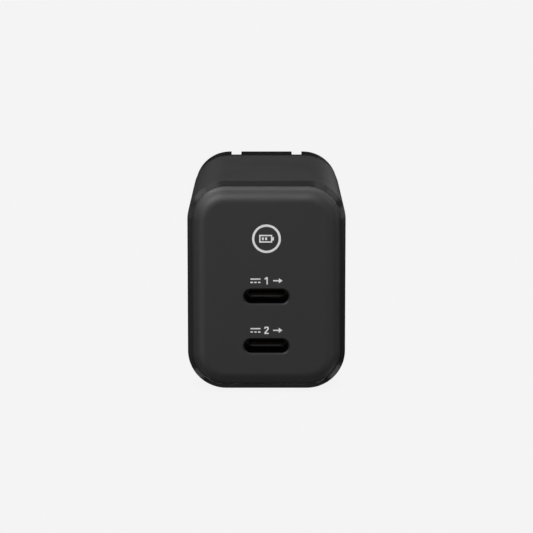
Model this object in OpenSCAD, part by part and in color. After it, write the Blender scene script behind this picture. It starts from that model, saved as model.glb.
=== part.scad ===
// Two-port wall charger with blades that fold into its back.
// Millimetres. X to the right seen from the ports, +Y towards the wall socket,
// Z up, origin in the middle of the underside.

/* [Body] */
// Width of the body
body_w = 30.3; // [28:0.1:38]
// Height of the body
body_h = 40.3; // [36:0.1:50]
// Depth from the port face to the back face
body_d = 57.6; // [54:0.1:72]
// Radius of the upright corners of the outline
corner_r = 7.4; // [6.6:0.1:9]
// Wall of the housing sleeve
wall = 1.8; // [1.4:0.1:2.2]

/* [Front] */
// How far the front cover's outline lies inside the housing's
cover_inset = 0.95; // [0.7:0.05:1.2]
// Radius of the soft edge round the port face
face_round = 2.9; // [2.2:0.1:3.5]
// Thickness of the front cover
cover_wall = 1.7; // [1.4:0.1:2.1]

/* [Rear] */
// Depth of the rear cover's visible band
cap_d = 9.7; // [8:0.1:11]
// How far the rear cover's outline lies inside the housing's
cap_inset = 0.15; // [0.1:0.05:0.4]
// Thickness of the back plate
plate_t = 2; // [1.6:0.1:2.2]

/* [Ports] */
// Width of a port mouth
mouth_w = 8.5; // [8.4:0.1:11]
// Height of a port mouth
mouth_h = 2.7; // [2.6:0.1:4]
// Height of the lower port's middle above the underside
port_z = 8.9; // [8:0.1:11]
// Distance between the two ports
port_pitch = 9.6; // [8:0.1:12]
// Length of a receptacle's shell
shell_l = 10.25; // [9:0.05:12]
// How far a receptacle stands back from the port face
port_recess = 0.55; // [0.5:0.05:0.8]

/* [Blades] */
// Distance between the middles of the two blades
blade_pitch = 12.7; // [12.7:0.1:15]
// Thickness of a blade
blade_t = 1.5; // [1.3:0.05:1.8]
// Width of a blade
blade_w = 6.35; // [5.3:0.05:6.5]
// Length of a blade outside the back face
blade_out = 17; // [15:0.1:20.4]
// Width of the slot that a blade folds into
slot_w = 2.1; // [2.1:0.05:2.6]
// Depth of the pivot below the back face
pivot_depth = 3.4; // [3.4:0.05:3.6]
// Distance from a folded blade's tip to the top of the body
tip_margin = 1.9; // [1.5:0.1:3]

/* [Boards] */
// Thickness of the main board
board_t = 1.2; // [1:0.1:1.6]
// Thickness of the port board
port_board_t = 1; // [0.8:0.1:1.2]
// Space between the left wall and the main board
board_stand = 3.2; // [3.2:0.1:4]
// Diameter of the choke's ferrite ring
choke_d = 10; // [8:0.1:11]
// Diameter of an output capacitor
out_cap_d = 6.3; // [5:0.1:6.6]

/* [Hidden] */

smooth = 96;           // segments of a full turn
eps = 0.5;             // how far a cut runs past the surface it opens
seat_gap = 0.1;        // between pieces that seat in one another
line_gap = 0.08;       // parting line between the frame and the front cover
run_gap = 0.05;        // between a turning piece and its bearing
part_gap = 0.6;        // between neighbouring components on a board
turn_gap = 0.3;        // between the rotor and the window round it

// planes along the depth
y_face = -body_d / 2;
y_back = body_d / 2;
y_rim = y_face + face_round;            // where the face's soft edge begins
y_seat = y_rim + cover_inset;           // front end of the housing
y_cap = y_back - cap_d;                 // rear end of the housing
web_t = 0.55;                           // web of the front frame
y_skirt = y_seat - web_t;               // end of the front cover's skirt
spigot_l = 3;                           // front frame inside the housing
lip_l = 2.5;                            // rear cover inside the housing
lip_t = 1.2;
mid_z = body_h / 2;

// insets of the shells from the body's outline
in_lip = wall + seat_gap;
in_cavity = in_lip + lip_t;             // inside of the rear cover
frame_t = 1.1;
in_frame = in_lip + frame_t;            // inside of the front frame
in_r = corner_r - wall;                 // inner corner radius of the housing
flat_z0 = corner_r;                     // flat part of the side walls
flat_z1 = body_h - corner_r;

// rotor and blades
blade_x = blade_pitch / 2;
y_pivot = y_back - pivot_depth;
pivot_z = body_h - tip_margin - blade_out - pivot_depth;
rotor_r = pivot_depth - run_gap * 2;
slot_d = pivot_depth + blade_w / 2 + 0.12;
slot_floor = 1;
slot_side = 1;
rotor_x = blade_x + blade_t / 2 + 2.2;  // half the rotor's length
trunnion_r = 1.2;
trunnion_l = 1.6;
ear_gap = 0.25;
ear_t = 2;
ear_h = 5.2;
window_r = rotor_r + turn_gap;
tail_w = 2.4;
tail_l = rotor_r + 2.2;                 // from the pivot to the tail's end

// contact carrier
boss_r = 2;
boss_end = y_pivot - tail_l - 2.5;      // front end of the screw bosses
carrier_t = 1.6;
y_carrier = boss_end - carrier_t;
carrier_w = body_w - 2 * in_cavity - 0.5;
screw_r = 0.8;
screw_head_r = 1.7;
screw_head_t = 1.1;
window_z0 = pivot_z - window_r;
window_z1 = pivot_z + window_r;
screw_z = [(in_cavity + window_z0) / 2, (window_z1 + body_h - in_cavity) / 2];
leaf_t = 0.3;
leaf_w = 3;
leaf_x = blade_x + blade_t / 2 + run_gap;
tag_x = rotor_x - 0.2;
tag_w = 1.2;
tag_out = 1.3;                          // tag standing out of the carrier
tag_h = 2;
wire_r = 0.6;
y_wire = y_carrier - wire_r - 0.1;

// receptacles
y_inner = y_face + cover_wall;          // inner side of the front cover
y_mouth = y_face + port_recess;
shell_wall = 0.3;
mouth_gap = 0.08;                       // round a shell in its pocket
mouth_lip = 0.08;                       // a shell's inner wall inside the mouth's edge
shell_in_w = mouth_w - 2 * mouth_lip;
shell_in_h = mouth_h - 2 * mouth_lip;
y_board = y_mouth + shell_l;            // front side of the port board
tongue_w = shell_in_w - 1.65;
tongue_t = 0.7;
tongue_back = 0.5;                      // tongue's tip behind the mouth
base_l = 4;
contact_n = 12;
contact_pitch = 0.5;
contact_w = 0.25;
contact_l = 3.6;
contact_t = 0.05;
port_zs = [port_z, port_z + port_pitch];

// boards
board_edge = 1.9;                       // from the inner wall to a board's edge
port_edge = in_frame + 0.2;
board_x0 = -body_w / 2 + wall + board_stand;
board_x1 = board_x0 + board_t;
board_z0 = wall + board_edge;
board_z1 = body_h - wall - board_edge;
board_y0 = y_board + port_board_t + part_gap;
board_y1 = y_carrier - tag_out - 0.5;
rail_t = 1.2;
rail_bite = 0.7;
rail_gap = 0.1;

// space for the components, on the right of the main board
comp_x = board_x1 + 0.3;
comp_x_end = body_w / 2 - wall - 0.5;
comp_y0 = board_y0 + 0.5;
comp_y1 = board_y1 - 0.4;
comp_z0 = board_z0 + 1;
comp_z1 = board_z1 - 1;
safety_h = 4.8;
safety_d = 7.9;
safety_x = 10;
bulk_pitch = (comp_z1 - safety_h - part_gap - comp_z0) / 3;
bulk_d = bulk_pitch - part_gap;
bulk_l = comp_x_end - comp_x - 1.8;
bulk_y = comp_y1 - bulk_d / 2;
out_cap_l = 9;
out_cap_y = comp_y0 + out_cap_d / 2;
fuse_d = 2.4;
fuse_l = 7;
core_y0 = comp_y0 + out_cap_d + part_gap;
core_y1 = comp_y1 - bulk_d - part_gap;
wound_d = choke_d + 1;
choke_y = core_y0 + wound_d / 2;
choke_z = comp_z1 - wound_d / 2;
choke_h = 5;
fuse_y = core_y1 - fuse_d / 2;

// transformer: an E core on the board, wound round its middle leg
core_z0 = comp_z0;
core_z1 = comp_z1 - wound_d - part_gap;
core_zm = (core_z0 + core_z1) / 2;
core_ym = (core_y0 + core_y1) / 2;
core_h = 14.5;
core_leg = 3;
mid_leg = 2 * core_leg;
core_d = core_y1 - core_y0 - 6;
coil_space = (core_z1 - core_z0 - 2 * core_leg - mid_leg) / 2;
bobbin_t = 0.7;
flange_t = 0.8;
fit = 0.15;

// cooling on the left of the main board
chip_t = 1.3;
sheet_t = 0.2;
sheet_gap = 0.15;
spreader_t = 0.4;
sheet_x = -body_w / 2 + wall + sheet_gap;
spreader_x = sheet_x + sheet_t + 0.1;
pad_x0 = spreader_x + spreader_t;
pad_x1 = board_x0 - chip_t;

// print on the face
ink = 0.03;
icon_r = 2.74;
icon_line = 0.44;
label_h = 1.42;
label_line = 0.24;
label_up = 3.1;                         // label's middle above its port's
icon_z = (port_zs[1] + label_up + label_h / 2 + body_h - cover_inset - face_round) / 2 + 0.3;

// ---- shapes that several pieces use ----

// rounded rectangle about the origin
module round_rect(w, h, r) {
    square([w - 2 * r, h], center = true);
    square([w, h - 2 * r], center = true);
    for (sx = [-1, 1], sz = [-1, 1])
        translate([sx * (w / 2 - r), sz * (h / 2 - r)])
            circle(r = r, $fn = smooth);
}

// the body's outline in X and Z, moved in by an inset
module outline(inset) {
    translate([0, mid_z])
        round_rect(body_w - 2 * inset, body_h - 2 * inset, corner_r - inset);
}

// a flat slot with round ends about the origin
module slot_outline(w, h) {
    square([w - h, h], center = true);
    for (sx = [-1, 1])
        translate([sx * (w - h) / 2, 0])
            circle(d = h, $fn = smooth);
}

// extrudes an X-Z outline from y0 back to y1
module along_y(y0, y1) {
    translate([0, y1, 0])
        rotate([90, 0, 0])
            linear_extrude(y1 - y0)
                children();
}

// extrudes a Y-Z outline from x0 to x1
module along_x(x0, x1) {
    translate([x0, 0, 0])
        rotate([90, 0, 90])
            linear_extrude(x1 - x0)
                children();
}

module block(low, high) {
    translate(low)
        cube(high - low);
}

// section of a soft edge: u outwards, v along the depth
module soft_section(u, v, r) {
    square([u, v - r]);
    square([u - r, v]);
    translate([u - r, v - r])
        intersection() {
            circle(r = r, $fn = smooth);
            square([r, r]);
        }
}

// slab about the origin, standing on Z = 0, with its upper edge rounded
module soft_slab(w, h, corner, depth, r) {
    along_w = w - 2 * corner;
    along_h = h - 2 * corner;
    translate([-along_w / 2, -along_h / 2, 0])
        cube([along_w, along_h, depth]);
    for (turn = [0, 180]) {
        rotate(turn)
            translate([along_w / 2, along_h / 2, 0])
                rotate([90, 0, 0])
                    linear_extrude(along_h)
                        soft_section(corner, depth, r);
        rotate(turn + 90)
            translate([along_h / 2, along_w / 2, 0])
                rotate([90, 0, 0])
                    linear_extrude(along_w)
                        soft_section(corner, depth, r);
    }
    for (q = [0:3])
        translate([(q == 0 || q == 3 ? 1 : -1) * along_w / 2, (q < 2 ? 1 : -1) * along_h / 2, 0])
            rotate(q * 90)
                rotate_extrude(angle = 90, $fn = smooth)
                    soft_section(corner, depth, r);
}

// soft slab facing the ports, from the plane y back to the plane y_end
module soft_front(inset, y, y_end, r) {
    translate([0, y_end, mid_z])
        rotate([90, 0, 0])
            soft_slab(body_w - 2 * inset, body_h - 2 * inset, corner_r - inset, y_end - y, r);
}

// soft slab facing the wall socket
module soft_back(inset, y_start, y, r) {
    mirror([0, 1, 0])
        soft_front(inset, -y, -y_start, r);
}

// ---- shells ----

module housing() {
    color("#3b3b3b") {
        difference() {
            along_y(y_seat, y_cap)
                outline(0);
            along_y(y_seat - eps, y_cap + eps)
                outline(wall);
        }
        for (low = [true, false], side = [-1, 1])
            board_rail(low, side);
    }
}

// one rail beside an edge of the main board
module board_rail(low, side) {
    x0 = side < 0 ? board_x0 - rail_gap - rail_t : board_x1 + rail_gap;
    z0 = low ? wall / 2 : board_z1 - rail_bite;
    z1 = low ? board_z0 + rail_bite : body_h - wall / 2;
    intersection() {
        block([x0, board_y0, z0], [x0 + rail_t, board_y1, z1]);
        along_y(board_y0 - eps, board_y1 + eps)
            outline(wall / 2);
    }
}

// polished frame between the housing and the front cover
module front_frame() {
    color("#1c1c1c")
        difference() {
            union() {
                intersection() {
                    along_y(y_rim, y_seat)
                        outline(0);
                    chamfer_cone();
                }
                along_y(y_seat, y_seat + spigot_l)
                    outline(in_lip);
            }
            along_y(y_rim - eps, y_skirt)
                outline(cover_inset - line_gap);
            along_y(y_skirt - eps, y_seat + spigot_l + eps)
                outline(in_frame);
        }
}

// body whose outline shrinks towards the ports at 45 degrees
module chamfer_cone() {
    depth = cover_inset + 0.2;
    straight_w = body_w - 2 * corner_r;
    straight_h = body_h - 2 * corner_r;
    translate([0, y_seat, mid_z])
        rotate([90, 0, 0]) {
            translate([-straight_w / 2, -straight_h / 2, 0])
                cube([straight_w, straight_h, depth]);
            for (turn = [0, 180]) {
                rotate(turn)
                    translate([straight_w / 2, straight_h / 2, 0])
                        rotate([90, 0, 0])
                            linear_extrude(straight_h)
                                chamfer_section(depth);
                rotate(turn + 90)
                    translate([straight_h / 2, straight_w / 2, 0])
                        rotate([90, 0, 0])
                            linear_extrude(straight_w)
                                chamfer_section(depth);
            }
            for (sx = [-1, 1], sz = [-1, 1])
                translate([sx * straight_w / 2, sz * straight_h / 2, 0])
                    cylinder(r1 = corner_r, r2 = corner_r - depth, h = depth, $fn = smooth);
        }
}

module chamfer_section(depth) {
    polygon([[0, 0], [corner_r, 0], [corner_r - depth, depth], [0, depth]]);
}

module front_cover() {
    inner_round = max(0.6, face_round - cover_wall);
    tab_w = 4;
    tab_t = 1.2;
    tab_inset = in_frame + seat_gap;
    tab_end = y_seat + spigot_l + 0.9;
    color("#353535")
        difference() {
            union() {
                difference() {
                    soft_front(cover_inset, y_face, y_skirt - seat_gap, face_round);
                    soft_front(cover_inset + cover_wall, y_inner, y_skirt + eps, inner_round);
                }
                for (turn = [0, 180])
                    translate([0, 0, mid_z])
                        rotate([0, turn, 0]) {
                            snap_tab(body_h / 2 - tab_inset, tab_w, tab_t, tab_end);
                            rotate([0, 90, 0])
                                snap_tab(body_w / 2 - tab_inset, tab_w, tab_t, tab_end);
                        }
            }
            for (z = port_zs)
                translate([0, 0, z])
                    port_cut();
        }
}

// snap tab whose outer side stands at height top, with a barb behind the frame
module snap_tab(top, w, t, end) {
    barb = 0.5;
    block([-w / 2, y_inner - 0.3, top - t], [w / 2, end, top]);
    along_x(-w / 2, w / 2)
        polygon([[end - 0.75, top - 0.1], [end - 0.75, top + barb], [end, top], [end, top - 0.1]]);
}

// port mouth with a small bevel at the face, and a pocket for the shell behind it
module port_cut() {
    bevel = 0.3;
    grow = 2 * (shell_wall + mouth_gap);
    along_y(y_face - eps, y_inner + eps)
        slot_outline(mouth_w, mouth_h);
    along_y(y_mouth - 0.05, y_inner + eps)
        slot_outline(shell_in_w + grow, shell_in_h + grow);
    translate([0, y_face + bevel, 0])
        rotate([90, 0, 0]) {
            for (sx = [-1, 1])
                translate([sx * (mouth_w - mouth_h) / 2, 0, 0])
                    cylinder(r1 = mouth_h / 2, r2 = mouth_h / 2 + 2 * bevel, h = 2 * bevel, $fn = smooth);
            rotate([90, 0, 90])
                translate([0, 0, -(mouth_w - mouth_h) / 2])
                    linear_extrude(mouth_w - mouth_h)
                        polygon([
                            [-mouth_h / 2, 0],
                            [mouth_h / 2, 0],
                            [mouth_h / 2 + 2 * bevel, 2 * bevel],
                            [-mouth_h / 2 - 2 * bevel, 2 * bevel]
                        ]);
        }
}

module rear_cover() {
    back_round = 0.8;
    plate_y = y_back - plate_t;
    channel_x = slot_w / 2 + slot_side;
    color("#181818")
        difference() {
            union() {
                difference() {
                    union() {
                        soft_back(cap_inset, y_cap, y_back, back_round);
                        along_y(y_cap - lip_l, y_cap)
                            outline(in_lip);
                    }
                    along_y(y_cap - lip_l - eps, plate_y)
                        outline(in_cavity);
                }
                for (side = [-1, 1]) {
                    // channel that a blade folds into
                    block([side * blade_x - channel_x, y_back - slot_d - slot_floor, window_z1],
                          [side * blade_x + channel_x, plate_y + 0.2, body_h - in_cavity + 0.2]);
                    bearing_ear(side);
                }
                for (z = screw_z)
                    translate([0, plate_y + 0.2, z])
                        rotate([90, 0, 0])
                            cylinder(r = boss_r, h = plate_y + 0.2 - boss_end, $fn = smooth);
            }
            for (side = [-1, 1]) {
                block([side * blade_x - slot_w / 2, y_back - slot_d, pivot_z],
                      [side * blade_x + slot_w / 2, y_back + eps, body_h + eps]);
                ear_bore(side);
            }
            block([-rotor_x - ear_gap, y_pivot - window_r, window_z0],
                  [rotor_x + ear_gap, y_back + eps, window_z1]);
            for (z = screw_z)
                translate([0, y_back - plate_t, z])
                    rotate([90, 0, 0])
                        cylinder(r = screw_r + run_gap, h = plate_y - boss_end + eps, $fn = smooth);
        }
}

// ear that holds one of the rotor's trunnions
module bearing_ear(side) {
    x = rotor_x + ear_gap;
    mirror([side < 0 ? 1 : 0, 0, 0])
        block([x, y_pivot - ear_h / 2, pivot_z - ear_h / 2], [x + ear_t, y_back - plate_t + 0.2, pivot_z + ear_h / 2]);
}

module ear_bore(side) {
    mirror([side < 0 ? 1 : 0, 0, 0])
        translate([rotor_x, y_pivot, pivot_z])
            rotate([0, 90, 0])
                cylinder(r = trunnion_r + run_gap, h = ear_gap + ear_t + eps, $fn = smooth);
}

// ---- plug ----

module blade_rotor() {
    color("#202020")
        difference() {
            union() {
                translate([-rotor_x, y_pivot, pivot_z])
                    rotate([0, 90, 0])
                        cylinder(r = rotor_r, h = 2 * rotor_x, $fn = smooth);
                block([-rotor_x, y_pivot, pivot_z - rotor_r], [rotor_x, y_pivot + rotor_r, pivot_z]);
                translate([-rotor_x - trunnion_l, y_pivot, pivot_z])
                    rotate([0, 90, 0])
                        cylinder(r = trunnion_r, h = 2 * (rotor_x + trunnion_l), $fn = smooth);
            }
            for (side = [-1, 1])
                along_x(side * blade_x - blade_t / 2, side * blade_x + blade_t / 2)
                    blade_side();
        }
}

// side view of a blade with its tail
module blade_side() {
    tip_y = y_back + blade_out;
    tip_r = 1.6;
    z0 = pivot_z - blade_w / 2;
    z1 = pivot_z + blade_w / 2;
    polygon([[y_pivot - 1.4, z0 + 1], [y_pivot - 0.4, z0], [tip_y - tip_r, z0],
        [tip_y - tip_r, z1], [y_pivot - 0.4, z1], [y_pivot - 1.4, z1 - 1]]);
    translate([tip_y - 2 * tip_r, z0 + tip_r])
        square([2 * tip_r, blade_w - 2 * tip_r]);
    for (z = [z0 + tip_r, z1 - tip_r])
        translate([tip_y - tip_r, z])
            circle(r = tip_r, $fn = smooth);
    translate([y_pivot - tail_l, pivot_z - tail_w / 2])
        square([tail_l, tail_w]);
}

// blade with a tip that thins on both faces
module blade(side) {
    tip_y = y_back + blade_out;
    taper_l = 2.2;
    taper_t = 0.42;
    color("#c9cacc")
        translate([side * blade_x, 0, 0])
            intersection() {
                along_x(-blade_t / 2, blade_t / 2)
                    blade_side();
                translate([0, 0, pivot_z - blade_w])
                    linear_extrude(2 * blade_w)
                        polygon([
                            [-blade_t / 2, y_pivot - tail_l - 1],
                            [blade_t / 2, y_pivot - tail_l - 1],
                            [blade_t / 2, tip_y - taper_l],
                            [blade_t / 2 - taper_t, tip_y + 0.01],
                            [taper_t - blade_t / 2, tip_y + 0.01],
                            [-blade_t / 2, tip_y - taper_l]
                        ]);
            }
}

module blade_left() {
    blade(-1);
}

module blade_right() {
    blade(1);
}

// ---- contacts behind the plug ----

module contact_carrier() {
    z0 = screw_z[0] - boss_r - 0.4;
    z1 = screw_z[1] + boss_r + 0.4;
    color("#e8e4d8")
        difference() {
            block([-carrier_w / 2, y_carrier, z0], [carrier_w / 2, boss_end, z1]);
            for (z = screw_z)
                translate([0, boss_end + eps, z])
                    rotate([90, 0, 0])
                        cylinder(r = screw_r + 0.1, h = carrier_t + 2 * eps, $fn = smooth);
            for (side = [-1, 1])
                block([side * tag_x - tag_w / 2 - 0.1, y_carrier - eps, pivot_z - tag_h / 2 - 0.1],
                      [side * tag_x + tag_w / 2 + 0.1, boss_end + eps, pivot_z + tag_h / 2 + 0.1]);
        }
}

module carrier_screws() {
    color("#b9bcc0")
        for (z = screw_z)
            translate([0, y_carrier, z])
                rotate([-90, 0, 0])
                    difference() {
                        union() {
                            translate([0, 0, -screw_head_t])
                                cylinder(r1 = screw_head_r * 0.8, r2 = screw_head_r, h = screw_head_t, $fn = smooth);
                            cylinder(r = screw_r, h = 6, $fn = smooth);
                        }
                        for (turn = [0, 90])
                            rotate(turn)
                                translate([-0.9, -0.2, -screw_head_t - eps])
                                    cube([1.8, 0.4, 0.6 + eps]);
                    }
}

// spring leaf that stands beside a blade's tail, with its solder tag
module contact_spring(side) {
    arm_end = y_pivot - rotor_r - 0.35;
    color("#c8894a")
        mirror([side < 0 ? 1 : 0, 0, 0]) {
            translate([0, 0, pivot_z - leaf_w / 2])
                linear_extrude(leaf_w)
                    polygon([
                        [leaf_x, boss_end],
                        [tag_x + tag_w / 2, boss_end],
                        [tag_x + tag_w / 2, boss_end + leaf_t],
                        [leaf_x + leaf_t, boss_end + leaf_t],
                        [leaf_x + leaf_t, arm_end - 0.8],
                        [leaf_x + leaf_t + 0.45, arm_end],
                        [leaf_x + 0.45, arm_end],
                        [leaf_x, arm_end - 0.7]
                    ]);
            block([tag_x - tag_w / 2, y_carrier - tag_out, pivot_z - tag_h / 2],
                  [tag_x + tag_w / 2, boss_end, pivot_z + tag_h / 2]);
        }
}

module contact_spring_left() {
    contact_spring(-1);
}

module contact_spring_right() {
    contact_spring(1);
}

// bowed leaf that presses on the middle of the rotor
module detent_spring() {
    half_w = 2.2;
    foot = 1.4;
    reach = y_pivot - rotor_r - run_gap;
    color("#b5b8bc")
        along_x(-half_w, half_w)
            difference() {
                detent_profile(reach, 4.4, 1.6, foot);
                detent_profile(reach - leaf_t, 4.4 - leaf_t, 1.6, 0);
            }
}

// side view of the bowed leaf: half-width at its foot and at its crown
module detent_profile(reach, at_foot, at_crown, foot) {
    polygon([[boss_end, pivot_z - at_foot], [reach, pivot_z - at_crown],
        [reach, pivot_z + at_crown], [boss_end, pivot_z + at_foot]]);
    if (foot > 0)
        translate([boss_end, pivot_z - at_foot - foot / 2])
            square([leaf_t, 2 * at_foot + foot]);
}

// round insulated wire through a list of points
module wire(points) {
    for (i = [0:len(points) - 2])
        wire_run(points[i], points[i + 1]);
    for (i = [1:len(points) - 2])
        translate(points[i])
            sphere(r = wire_r, $fn = smooth);
}

module wire_run(a, b) {
    d = b - a;
    length = norm(d);
    translate(a)
        rotate([0, acos(d[2] / length), atan2(d[1], d[0])])
            cylinder(r = wire_r, h = length, $fn = smooth);
}

module lead_wire_live() {
    x = (board_x0 + board_x1) / 2;
    z = pivot_z + 6;
    color("#8c1f1c")
        wire([[-tag_x, y_wire, pivot_z + tag_h / 2], [-tag_x, y_wire, z], [x, y_wire, z], [x, board_y1, z]]);
}

module lead_wire_neutral() {
    x = (board_x0 + board_x1) / 2;
    z = pivot_z + 8;
    color("#2a2a2c")
        wire([[tag_x, y_wire, pivot_z + tag_h / 2], [tag_x, y_wire, z], [x, y_wire, z], [x, board_y1, z]]);
}

// ---- ports ----

module receptacle_shell(z) {
    color("#9a9ca0")
        translate([0, 0, z])
            difference() {
                along_y(y_mouth, y_board)
                    slot_outline(shell_in_w + 2 * shell_wall, shell_in_h + 2 * shell_wall);
                along_y(y_mouth - eps, y_board + eps)
                    slot_outline(shell_in_w, shell_in_h);
            }
}

module receptacle_tongue(z) {
    tip = y_mouth + tongue_back;
    color("#111111")
        translate([0, 0, z]) {
            along_y(y_board - base_l, y_board)
                slot_outline(shell_in_w, shell_in_h);
            block([-tongue_w / 2, tip, -tongue_t / 2 + contact_t], [tongue_w / 2, y_board - base_l + 0.1, tongue_t / 2 - contact_t]);
            for (level = [-1, 1])
                for (i = [0:contact_n])
                    tongue_rib(i, level, tip);
        }
}

// strip of the tongue's surface between two contacts
module tongue_rib(i, level, tip) {
    first = -contact_pitch * (contact_n - 1) / 2;
    x0 = i == 0 ? -tongue_w / 2 : first + contact_pitch * (i - 1) + contact_w / 2;
    x1 = i == contact_n ? tongue_w / 2 : first + contact_pitch * i - contact_w / 2;
    z = level > 0 ? tongue_t / 2 - contact_t : -tongue_t / 2;
    block([x0, tip, z], [x1, y_board - base_l + 0.1, z + contact_t]);
}

module receptacle_contacts(z) {
    start = y_mouth + tongue_back + 0.6;
    first = -contact_pitch * (contact_n - 1) / 2;
    color("#d8b25a")
        translate([0, 0, z])
            for (level = [-1, 1], i = [0:contact_n - 1])
                translate([first + contact_pitch * i - contact_w / 2, start, level > 0 ? tongue_t / 2 - contact_t : -tongue_t / 2])
                    cube([contact_w, contact_l, contact_t]);
}

module receptacle_shell_lower() {
    receptacle_shell(port_zs[0]);
}

module receptacle_shell_upper() {
    receptacle_shell(port_zs[1]);
}

module receptacle_tongue_lower() {
    receptacle_tongue(port_zs[0]);
}

module receptacle_tongue_upper() {
    receptacle_tongue(port_zs[1]);
}

module receptacle_contacts_lower() {
    receptacle_contacts(port_zs[0]);
}

module receptacle_contacts_upper() {
    receptacle_contacts(port_zs[1]);
}

// ---- boards ----

module port_board() {
    color("#1d4a2c")
        along_y(y_board, y_board + port_board_t)
            outline(port_edge);
}

module protocol_chip() {
    y = y_board + port_board_t;
    color("#1a1a1c")
        block([1, y, mid_z + 4], [6, y + 0.5, mid_z + 9]);
}

module main_board() {
    color("#1d4a2c")
        block([board_x0, board_y0, board_z0], [board_x1, board_y1, board_z1]);
}

// row of pins that joins the two boards
module link_pins() {
    pin = 0.64;
    pitch = 2.54;
    color("#d8b25a")
        for (i = [0:3])
            translate([board_x1, y_board + port_board_t, comp_z0 + 0.3 + i * pitch])
                cube([pin, 3.4, pin]);
}

// ---- chips and cooling, on the left of the main board ----

module chip(y, z, l, h) {
    color("#19191b")
        block([pad_x1, y - l / 2, z - h / 2], [board_x0, y + l / 2, z + h / 2]);
}

module primary_switch() {
    chip(core_ym, mid_z, 8, 6);
}

module sync_rectifier() {
    chip(comp_y0 + 4, mid_z - 6, 5, 6);
}

module bridge_rectifier() {
    chip(comp_y1 - 5, mid_z + 3, 8, 7);
}

module thermal_pad() {
    color("#8f959b")
        block([pad_x0, comp_y0 + 0.5, flat_z0 + 1.5], [pad_x1, comp_y1 - 0.5, flat_z1 - 1.5]);
}

module heat_spreader() {
    color("#b87a4b")
        block([spreader_x, board_y0, flat_z0 + 0.6], [pad_x0, board_y1, flat_z1 - 0.6]);
}

module insulation_sheet() {
    color("#d9d3bf")
        block([sheet_x, board_y0 - 0.5, flat_z0], [sheet_x + sheet_t, board_y1 + 0.4, flat_z1]);
}

// ---- components on the right of the main board ----

module transformer_core() {
    leg_x = comp_x + core_leg;
    top_x = comp_x + core_h - core_leg;
    color("#3c3c40")
        difference() {
            block([comp_x, core_ym - core_d / 2, core_z0], [comp_x + core_h, core_ym + core_d / 2, core_z1]);
            for (side = [-1, 1]) {
                near = core_zm + side * mid_leg / 2;
                far = near + side * coil_space;
                block([leg_x, core_ym - core_d, min(near, far)], [top_x, core_ym + core_d, max(near, far)]);
            }
        }
}

// rectangular tube round the middle leg, from x0 to x1
module leg_tube(x0, x1, inner, outer, reach_y, reach_z) {
    difference() {
        block([x0, core_ym - reach_y, core_zm - reach_z], [x1, core_ym + reach_y, core_zm + reach_z]);
        block([x0 - eps, core_ym - core_d / 2 - inner, core_zm - mid_leg / 2 - inner],
              [x1 + eps, core_ym + core_d / 2 + inner, core_zm + mid_leg / 2 + inner]);
    }
}

module transformer_bobbin() {
    x0 = comp_x + core_leg + fit;
    x1 = comp_x + core_h - core_leg - fit;
    tube = bobbin_t + fit;
    flange_z = mid_leg / 2 + coil_space - fit;
    flange_y = (core_y1 - core_y0) / 2;
    color("#1f1f21") {
        leg_tube(x0, x1, fit, 0, core_d / 2 + tube, mid_leg / 2 + tube);
        leg_tube(x0, x0 + flange_t, fit, 0, flange_y, flange_z);
        leg_tube(x1 - flange_t, x1, fit, 0, flange_y, flange_z);
    }
}

module transformer_winding() {
    x0 = comp_x + core_leg + fit + flange_t;
    x1 = comp_x + core_h - core_leg - fit - flange_t;
    inner = bobbin_t + fit;
    color("#c9a227")
        leg_tube(x0, x1, inner, 0, (core_y1 - core_y0) / 2 - 0.3, mid_leg / 2 + coil_space - 2 * fit);
}

// ring about X through the choke's middle
module choke_ring(r_in, r_out, h) {
    translate([comp_x + wound_d / 2 + 0.4 - h / 2, choke_y, choke_z])
        rotate([0, 90, 0])
            difference() {
                cylinder(r = r_out, h = h, $fn = smooth);
                translate([0, 0, -eps])
                    cylinder(r = r_in, h = h + 2 * eps, $fn = smooth);
            }
}

module choke_core() {
    color("#4a5a4c")
        choke_ring(choke_d / 4, choke_d / 2, choke_h);
}

// two windings, each over a third of the ring
module choke_winding() {
    half = 3.2;
    x = comp_x + wound_d / 2 + 0.4;
    color("#a8622c")
        for (side = [-1, 1])
            difference() {
                intersection() {
                    choke_ring(choke_d / 4 - 0.5, wound_d / 2, choke_h + 1);
                    block([x - choke_h, choke_y - half, choke_z + (side > 0 ? 1 : -wound_d)],
                          [x + choke_h, choke_y + half, choke_z + (side > 0 ? wound_d : -1)]);
                }
                choke_ring(choke_d / 4, choke_d / 2, choke_h);
            }
}

module safety_capacitor() {
    color("#c8b23a")
        block([comp_x, comp_y1 - safety_d, comp_z1 - safety_h], [comp_x + safety_x, comp_y1, comp_z1]);
}

module line_fuse() {
    color("#5a4636")
        translate([comp_x + fuse_d / 2, fuse_y, choke_z - fuse_l / 2])
            cylinder(d = fuse_d, h = fuse_l, $fn = smooth);
}

// disc between the mains side and the output side
module bridging_capacitor() {
    disc_t = 2.6;
    color("#2f6fae")
        translate([comp_x + out_cap_d / 2, out_cap_y, comp_z0 + 11.3])
            cylinder(d = out_cap_d, h = disc_t, $fn = smooth);
}

// round can with a rolled groove near its foot, standing on the board
module can(y, z, d, length, groove) {
    translate([comp_x, y, z])
        rotate([0, 90, 0])
            difference() {
                cylinder(d = d, h = length, $fn = smooth);
                translate([0, 0, 1])
                    difference() {
                        cylinder(d = d + 1, h = 0.8, $fn = smooth);
                        translate([0, 0, -eps])
                            cylinder(d = d - 2 * groove, h = 0.8 + 2 * eps, $fn = smooth);
                    }
            }
}

module bulk_capacitor(i) {
    color("#20242c")
        can(bulk_y, comp_z0 + (i + 0.5) * bulk_pitch, bulk_d, bulk_l, 0.3);
}

module bulk_capacitor_1() {
    bulk_capacitor(0);
}

module bulk_capacitor_2() {
    bulk_capacitor(1);
}

module bulk_capacitor_3() {
    bulk_capacitor(2);
}

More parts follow.
